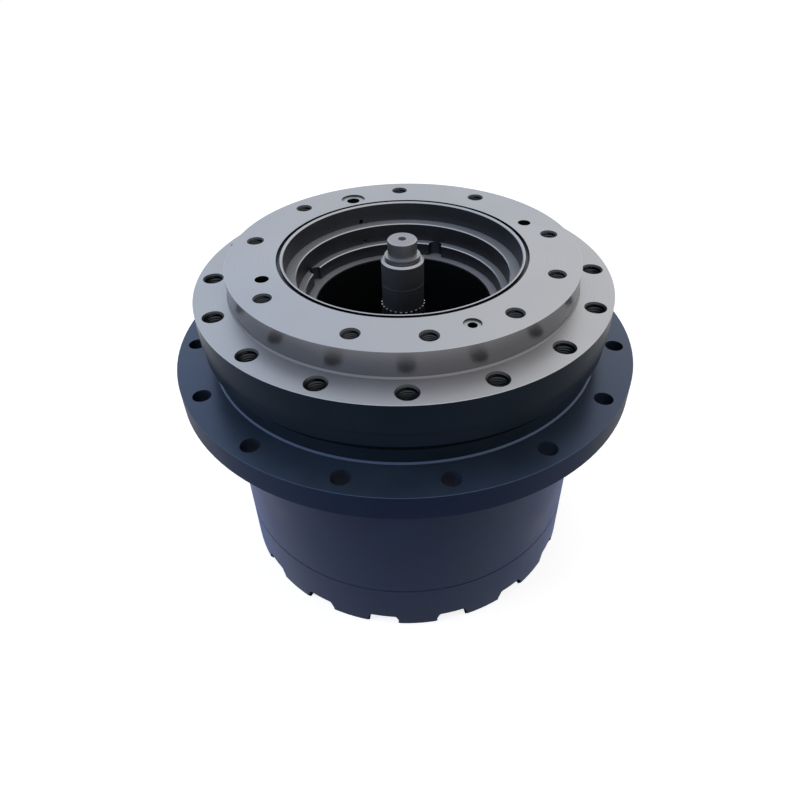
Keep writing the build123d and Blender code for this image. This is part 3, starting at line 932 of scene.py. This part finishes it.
class DRIVE_OT_oil_plugs(bpy.types.Operator):
    """Socket plugs in the end cover"""

    bl_idname = "drive.oil_plugs"
    bl_label = "Oil plugs"

    def execute(self, context):
        edge = sizes().broken_edge
        socket = sizes().plug_socket / 2
        places, head, length = fasteners("oil_plugs")
        stem = head - sizes().plug_step
        under = sizes().plug_collar
        rings = [
            ring_points(socket, sizes().plug_depth, sides=6),
            ring_points(socket, edge, sides=6),
            ring_points(socket * SOCKET_MOUTH, 0),
            ring_points(head - 2 * edge, 0),
            ring_points(head, 2 * edge),
            ring_points(head, under),
            ring_points(stem, under),
            ring_points(stem, length - edge),
            ring_points(stem - edge, length),
        ]
        points, faces = repeat(*loft(rings), places)
        metal = bpy.data.materials["Black oxide steel"]
        plugs = add_piece("socket_plugs", points, faces, metal, "drum", "bolt_steel")
        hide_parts("oil_plugs")
        return {"FINISHED"}


class DRIVE_OT_shaft(bpy.types.Operator):
    """Ground journal and hardened body of the input shaft"""

    bl_idname = "drive.shaft"
    bl_label = "Input shaft"

    GROUND, HARDENED, BARE, EDGED = range(4)

    def execute(self, context):
        give_finish(
            "input_shaft", ground_alloy_steel(), hardened_alloy_steel(), chamfered_steel(),
            edged_alloy_steel(), choose=self.choose,
        )
        return {"FINISHED"}

    def choose(self, face):
        """Number of a face's finish, from its place and its slope."""
        height = face.center.z
        rise = face.normal.z
        # Upward ends of the spline teeth take the near-white steel, a painted glint
        if abs(height - sizes().spline_top) < sizes().spline_skin and rise > UPWARD:
            return self.BARE
        if hypot(face.center.x, face.center.y) < sizes().centre_hole and rise < LEVEL:
            return self.HARDENED
        if height < sizes().bright_shaft:
            return self.HARDENED
        # Chamfers that slope up take the paler steel, a painted highlight
        return self.EDGED if UPWARD < rise < LEVEL else self.GROUND


class DRIVE_OT_gear_train(bpy.types.Operator):
    """Gears, carriers, pins and bolts of both planetary stages"""

    bl_idname = "drive.gear_train"
    bl_label = "Gear train"

    def execute(self, context):
        gear = hobbed_gear_steel()
        pin = bpy.data.materials["Ground alloy steel"]
        for node in frame["nodes"]:
            if "gear" in node or node.startswith(("carrier", "planet")):
                give_finish(node, pin if node.endswith("pins") else gear)
        give_finish("carrier_2_bolts", bpy.data.materials["Black oxide steel"])
        give_finish("thrust_pad", cast_bronze())
        return {"FINISHED"}


class DRIVE_OT_bearings(bpy.types.Operator):
    """Bearings and seals"""

    bl_idname = "drive.bearings"
    bl_label = "Bearings and seals"

    def execute(self, context):
        steel = polished_bearing_steel()
        iron = lapped_white_iron()
        rubber = moulded_nitrile_rubber()
        for node in frame["nodes"]:
            if "bearing" in node:
                give_finish(node, steel)
            elif node.startswith("seal_ring"):
                give_finish(node, iron)
            elif node.startswith(("seal_rubber", "shaft_seal")):
                give_finish(node, rubber)
        return {"FINISHED"}


def softbox(name, side, height, distance, width, power, hex_text):
    """A square lamp facing the object; side is its angle right of the camera, in degrees."""
    lamp = bpy.data.lights.new(name, "AREA")
    lamp.size = width
    lamp.energy = power
    lamp.color = linear(hex_text)
    holder = bpy.data.objects.new(name, lamp)
    angle = studio().heading + radians(side)
    place = Vector((distance * sin(angle), -distance * cos(angle), height))
    middle = (cad_low + cad_high) / 2
    holder.location = place
    holder.rotation_mode = "QUATERNION"
    holder.rotation_quaternion = (middle - place).to_track_quat("-Z", "Y")
    holder.visible_glossy = False
    bpy.context.scene.collection.objects.link(holder)


def shown_rays(tree):
    """One on rays from the camera and on those that metal and glass send on, else zero."""
    path = add_node(tree, "ShaderNodeLightPath")
    shown = path.outputs["Is Camera Ray"]
    for name in ("Is Glossy Ray", "Is Transmission Ray"):
        both = add_node(
            tree, "ShaderNodeMath", {0: shown, 1: path.outputs[name]}, operation="MAXIMUM"
        )
        shown = both.outputs[0]
    return shown


class DRIVE_OT_stage(bpy.types.Operator):
    """White floor, studio lamps and camera"""

    bl_idname = "drive.stage"
    bl_label = "Stage"

    def execute(self, context):
        self.floor(context.scene)
        self.sky(context.scene)
        self.lamps()
        self.camera(context.scene)
        context.scene.view_settings.view_transform = "Standard"
        return {"FINISHED"}

    def floor(self, scene):
        """Matt paper that glows where it is seen, so that it is white and keeps the shadow."""
        half = studio().floor_half
        corners = [(-half, -half, 0), (half, -half, 0), (half, half, 0), (-half, half, 0)]
        mesh = bpy.data.meshes.new("floor")
        mesh.from_pydata(corners, [], [(0, 1, 2, 3)])
        material, tree, output = new_material("White paper")
        shade = [studio().floor_shade] * 3
        paper = add_node(tree, "ShaderNodeBsdfDiffuse", {"Color": (*shade, 1.0)})
        light = [studio().floor_glow] * 3
        glow = add_node(
            tree, "ShaderNodeEmission", {"Color": (*light, 1.0), "Strength": shown_rays(tree)}
        )
        both = add_node(
            tree, "ShaderNodeAddShader", {0: paper.outputs[0], 1: glow.outputs[0]}
        )
        tree.links.new(both.outputs[0], output.inputs[0])
        mesh.materials.append(material)
        floor = bpy.data.objects.new("floor", mesh)
        scene.collection.objects.link(floor)

    def sky(self, scene):
        """Even light, cool on the left and warm on the right, and white behind the object."""
        world = bpy.data.worlds.new("Studio")
        scene.world = world
        world.use_nodes = True
        tree = world.node_tree
        tree.nodes.clear()
        view = studio()
        rightward = (cos(view.heading), sin(view.heading), 0.0)
        place = add_node(tree, "ShaderNodeTexCoord")
        side = add_node(
            tree, "ShaderNodeVectorMath", {0: place.outputs["Generated"], 1: rightward},
            operation="DOT_PRODUCT",
        )
        across = add_node(
            tree, "ShaderNodeMapRange",
            {
                "Value": side.outputs["Value"], "From Min": -view.sky_blend,
                "From Max": view.sky_blend,
            },
        )
        tone = add_node(
            tree, "ShaderNodeMix",
            {
                "Factor": across.outputs[0], MIX_A: (*view.sky_cool, 1.0),
                MIX_B: (*view.sky_warm, 1.0),
            },
            data_type="RGBA",
        )
        even = add_node(
            tree, "ShaderNodeBackground",
            {"Color": tone.outputs[MIX_RESULT], "Strength": view.ambient},
        )
        path = add_node(tree, "ShaderNodeLightPath")
        backdrop = add_node(
            tree, "ShaderNodeMix",
            {
                "Factor": path.outputs["Is Camera Ray"], MIX_A: tone.outputs[MIX_RESULT],
                MIX_B: (1.0, 1.0, 1.0, 1.0),
            },
            data_type="RGBA",
        )
        white = add_node(
            tree, "ShaderNodeBackground",
            {"Color": backdrop.outputs[MIX_RESULT], "Strength": 1.0},
        )
        mixed = add_node(
            tree, "ShaderNodeMixShader",
            {"Fac": shown_rays(tree), 1: even.outputs[0], 2: white.outputs[0]},
        )
        output = add_node(tree, "ShaderNodeOutputWorld")
        tree.links.new(mixed.outputs[0], output.inputs[0])

    def lamps(self):
        """Soft lamps, cool on the left, warm on the right and white above the back."""
        softbox(
            "left_softbox", side=-75, height=1.3, distance=1.8, width=1.2, power=18,
            hex_text="DCE6FF",
        )
        softbox(
            "right_softbox", side=80, height=1.0, distance=2.0, width=1.2, power=8,
            hex_text="FFF0E0",
        )
        softbox(
            "back_softbox", side=175, height=2.2, distance=0.9, width=1.6, power=10,
            hex_text="FFFFFF",
        )

    def camera(self, scene):
        """Camera at the angle of the photograph."""
        view = studio()
        data = bpy.data.cameras.new("camera")
        data.lens = view.lens
        data.sensor_width = view.sensor
        data.clip_start = view.nearest
        holder = bpy.data.objects.new("camera", data)
        turn = Matrix.Rotation(view.heading, 4, "Z")
        tilt = Matrix.Rotation(pi / 2 - view.pitch, 4, "X")
        roll = Matrix.Rotation(view.roll, 4, "Z")
        holder.matrix_world = Matrix.Translation(view.place) @ turn @ tilt @ roll
        scene.collection.objects.link(holder)
        scene.camera = holder


PIECES = (
    DRIVE_OT_spindle, DRIVE_OT_threads, DRIVE_OT_housing, DRIVE_OT_cover_screws,
    DRIVE_OT_oil_plugs, DRIVE_OT_shaft, DRIVE_OT_gear_train, DRIVE_OT_bearings, DRIVE_OT_stage,
)


class DRIVE_PT_panel(bpy.types.Panel):
    """Buttons for the pieces of the final drive"""

    bl_idname = "DRIVE_PT_panel"
    bl_label = "Final drive"
    bl_space_type = "VIEW_3D"
    bl_region_type = "UI"
    bl_category = "Final drive"

    def draw(self, context):
        for piece in PIECES:
            self.layout.operator(piece.bl_idname)


GROUPS = {
    "drive_colours": DriveColours,
    "drive_sizes": DriveSizes,
    "drive_view": DriveView,
}


def register():
    for name, group in GROUPS.items():
        bpy.utils.register_class(group)
        setattr(bpy.types.Scene, name, PointerProperty(type=group))
    for piece in (*PIECES, DRIVE_PT_panel):
        bpy.utils.register_class(piece)


def unregister():
    for piece in reversed((*PIECES, DRIVE_PT_panel)):
        bpy.utils.unregister_class(piece)
    for name, group in GROUPS.items():
        delattr(bpy.types.Scene, name)
        bpy.utils.unregister_class(group)


def main():
    register()
    bpy.ops.drive.spindle()
    bpy.ops.drive.threads()
    bpy.ops.drive.housing()
    bpy.ops.drive.cover_screws()
    bpy.ops.drive.oil_plugs()
    bpy.ops.drive.shaft()
    bpy.ops.drive.gear_train()
    bpy.ops.drive.bearings()
    bpy.ops.drive.stage()


if __name__ == "__main__":
    main()
